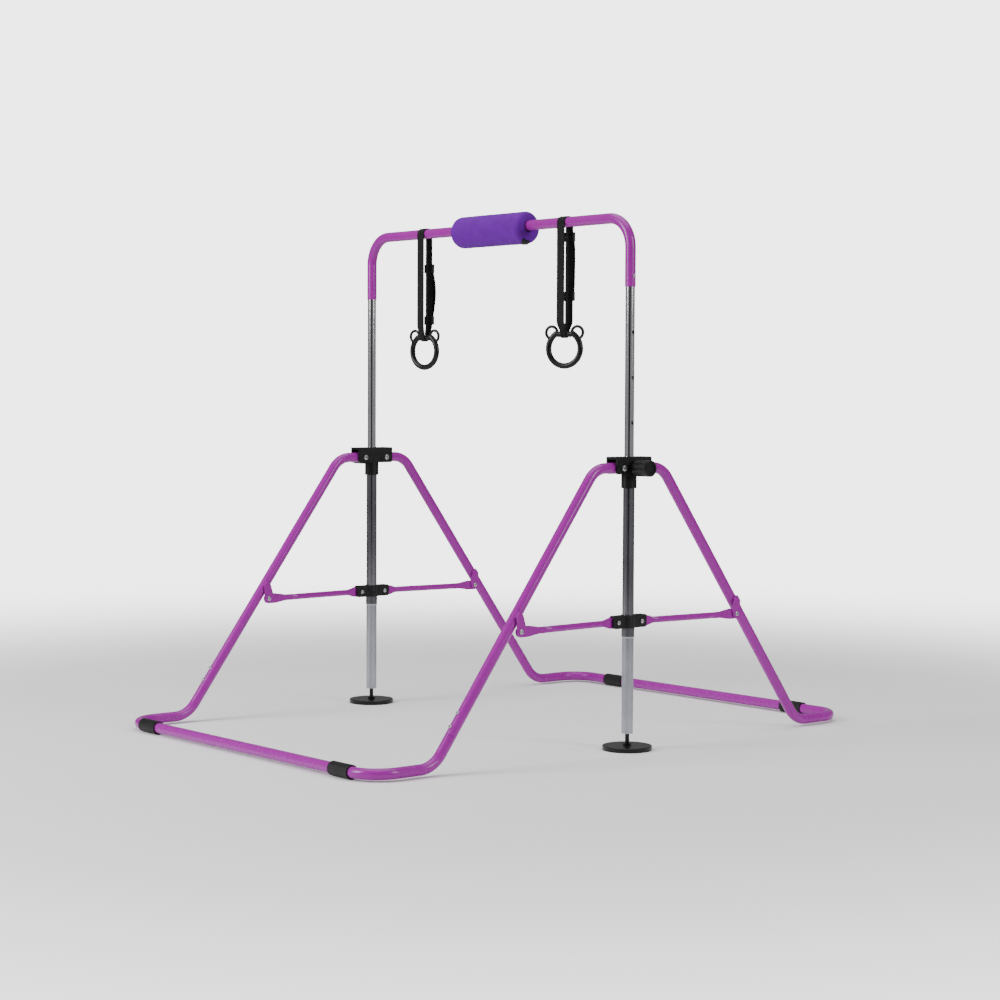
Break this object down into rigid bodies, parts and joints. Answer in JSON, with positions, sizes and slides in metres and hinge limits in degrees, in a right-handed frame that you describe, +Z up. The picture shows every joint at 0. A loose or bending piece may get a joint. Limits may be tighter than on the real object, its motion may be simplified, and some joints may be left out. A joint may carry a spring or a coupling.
{
  "type": "kip bar",
  "caption": "Folding kip bar: a bent purple bar on telescoping posts with spread floor frames, side braces, a foam bar pad and hanging strap rings.",
  "frame": {"origin": "on the floor, midway between the two posts", "axes": "+X along the bar from the left post to the right post, +Y towards the rear floor frame, +Z up"},
  "size_m": [1.148, 1.508, 1.2675],
  "materials": {
    "purple_paint": "smooth satin powder coat",
    "silver_paint": "satin silver coat",
    "chrome": "bright plated tube",
    "zinc": "zinc plated hardware",
    "spring_steel": "oiled spring steel",
    "black_plastic": "moulded, lightly textured",
    "black_gloss": "moulded, glossy",
    "black_rubber": "moulded rubber",
    "foam": "closed-cell foam, fine matt skin",
    "webbing": "woven flat webbing"
  },
  "bodies": {
    "base": {"left_bracket": "black_plastic", "right_bracket": "black_plastic", "bracket_bolts": "zinc", "left_outer_post": "chrome", "right_outer_post": "chrome", "left_lower_post": "silver_paint", "right_lower_post": "silver_paint", "post_guide_bushes": "black_plastic", "foot_nuts": "black_plastic", "pin_housings": "zinc", "pin_springs": "spring_steel"},
    "bar_frame": {"top_bar": "purple_paint", "left_inner_post": "chrome", "right_inner_post": "chrome", "inner_post_bushes": "black_plastic", "foam_pad": "foam", "snap_springs": "spring_steel"},
    "front_frame": {"left_front_leg": "purple_paint", "left_front_corner": "purple_paint", "left_front_sleeve": "black_rubber", "right_front_leg": "purple_paint", "right_front_corner": "purple_paint", "right_front_sleeve": "black_rubber", "front_cross_tube": "purple_paint", "front_leg_screws": "zinc", "front_tab_rivets": "zinc"},
    "rear_frame": {"left_rear_leg": "purple_paint", "left_rear_corner": "purple_paint", "left_rear_sleeve": "black_rubber", "right_rear_leg": "purple_paint", "right_rear_corner": "purple_paint", "right_rear_sleeve": "black_rubber", "rear_cross_tube": "purple_paint", "rear_leg_screws": "zinc", "rear_tab_rivets": "zinc"},
    "left_button": {"left_snap_button": "zinc"},
    "left_puller": {"left_knob": "black_plastic", "left_lock_pin": "zinc"},
    "left_disc": {"left_foot_disc": "black_gloss"},
    "left_stem": {"left_foot_stem": "black_plastic"},
    "left_runner": {"left_slider": "black_plastic", "left_slider_bolts": "zinc"},
    "left_front_link": {"left_front_brace": "purple_paint"},
    "left_rear_link": {"left_rear_brace": "purple_paint"},
    "left_hanger": {"left_strap": "webbing", "left_buckles": "black_plastic"},
    "left_hand_ring": {"left_ring": "black_gloss"},
    "right_button": {"right_snap_button": "zinc"},
    "right_puller": {"right_knob": "black_plastic", "right_lock_pin": "zinc"},
    "right_disc": {"right_foot_disc": "black_gloss"},
    "right_stem": {"right_foot_stem": "black_plastic"},
    "right_runner": {"right_slider": "black_plastic", "right_slider_bolts": "zinc"},
    "right_front_link": {"right_front_brace": "purple_paint"},
    "right_rear_link": {"right_rear_brace": "purple_paint"},
    "right_hanger": {"right_strap": "webbing", "right_buckles": "black_plastic"},
    "right_hand_ring": {"right_ring": "black_gloss"}
  },
  "joints": [
    {"name": "bar_height", "type": "slide", "parent": "base", "child": "bar_frame", "axis": [0, 0, 1], "range_m": [-0.312, 0.104]},
    {"name": "front_fold", "type": "hinge", "parent": "base", "child": "front_frame", "pos_m": [0, -0.034, 0.655], "axis": [1, 0, 0], "range_deg": [0, 32]},
    {"name": "rear_fold", "type": "hinge", "parent": "base", "child": "rear_frame", "pos_m": [0, 0.034, 0.655], "axis": [1, 0, 0], "range_deg": [-32, 0]},
    {"name": "left_pin_pull", "type": "slide", "parent": "base", "child": "left_puller", "axis": [-1, 0, 0], "range_m": [0, 0.01], "stiffness_N_per_m": 700, "springref_m": -0.004},
    {"name": "left_button_press", "type": "slide", "parent": "bar_frame", "child": "left_button", "axis": [1, 0, 0], "range_m": [0, 0.005], "stiffness_N_per_m": 1200, "springref_m": -0.002},
    {"name": "left_foot_screw", "type": "slide", "parent": "base", "child": "left_disc", "axis": [0, 0, 1], "range_m": [0, 0.022]},
    {"name": "left_stem_turn", "type": "hinge", "parent": "left_disc", "child": "left_stem", "pos_m": [-0.5, 0, 0.01], "axis": [0, 0, 1], "range_deg": [-1, 4528]},
    {"name": "left_runner_slide", "type": "slide", "parent": "base", "child": "left_runner", "axis": [0, 0, 1], "range_m": [0, 0.1876]},
    {"name": "left_front_link_turn", "type": "hinge", "parent": "left_runner", "child": "left_front_link", "pos_m": [-0.5, -0.037, 0.298], "axis": [1, 0, 0], "range_deg": [0, 77.3]},
    {"name": "left_rear_link_turn", "type": "hinge", "parent": "left_runner", "child": "left_rear_link", "pos_m": [-0.5, 0.037, 0.298], "axis": [1, 0, 0], "range_deg": [-77.3, 0]},
    {"name": "left_strap_swing", "type": "hinge", "parent": "bar_frame", "child": "left_hanger", "pos_m": [-0.272, 0, 1.2325], "axis": [1, 0, 0], "range_deg": [-50, 50]},
    {"name": "left_ring_swing", "type": "hinge", "parent": "left_hanger", "child": "left_hand_ring", "pos_m": [-0.272, 0, 0.967], "axis": [0.9848, 0.1736, 0], "range_deg": [-60, 60]},
    {"name": "right_pin_pull", "type": "slide", "parent": "base", "child": "right_puller", "axis": [1, 0, 0], "range_m": [0, 0.01], "stiffness_N_per_m": 700, "springref_m": -0.004},
    {"name": "right_button_press", "type": "slide", "parent": "bar_frame", "child": "right_button", "axis": [-1, 0, 0], "range_m": [0, 0.005], "stiffness_N_per_m": 1200, "springref_m": -0.002},
    {"name": "right_foot_screw", "type": "slide", "parent": "base", "child": "right_disc", "axis": [0, 0, 1], "range_m": [0, 0.022]},
    {"name": "right_stem_turn", "type": "hinge", "parent": "right_disc", "child": "right_stem", "pos_m": [0.5, 0, 0.01], "axis": [0, 0, 1], "range_deg": [-1, 4528]},
    {"name": "right_runner_slide", "type": "slide", "parent": "base", "child": "right_runner", "axis": [0, 0, 1], "range_m": [0, 0.1876]},
    {"name": "right_front_link_turn", "type": "hinge", "parent": "right_runner", "child": "right_front_link", "pos_m": [0.5, -0.037, 0.298], "axis": [1, 0, 0], "range_deg": [0, 77.3]},
    {"name": "right_rear_link_turn", "type": "hinge", "parent": "right_runner", "child": "right_rear_link", "pos_m": [0.5, 0.037, 0.298], "axis": [1, 0, 0], "range_deg": [-77.3, 0]},
    {"name": "right_strap_swing", "type": "hinge", "parent": "bar_frame", "child": "right_hanger", "pos_m": [0.272, 0, 1.2325], "axis": [1, 0, 0], "range_deg": [-50, 50]},
    {"name": "right_ring_swing", "type": "hinge", "parent": "right_hanger", "child": "right_hand_ring", "pos_m": [0.272, 0, 0.967], "axis": [0.9135, 0.4067, 0], "range_deg": [-60, 60]}
  ],
  "couplings": [
    {"joint": "rear_fold", "follows": "front_fold", "ratio": -1},
    {"joint": "left_stem_turn", "follows": "left_foot_screw", "rad_per_m": 3590.4},
    {"joint": "left_runner_slide", "follows": "front_fold", "m_per_rad": 0.33575},
    {"joint": "left_front_link_turn", "follows": "front_fold", "ratio": 2.4113},
    {"joint": "left_rear_link_turn", "follows": "front_fold", "ratio": -2.4113},
    {"joint": "right_stem_turn", "follows": "right_foot_screw", "rad_per_m": 3590.4},
    {"joint": "right_runner_slide", "follows": "front_fold", "m_per_rad": 0.33575},
    {"joint": "right_front_link_turn", "follows": "front_fold", "ratio": 2.4113},
    {"joint": "right_rear_link_turn", "follows": "front_fold", "ratio": -2.4113}
  ]
}
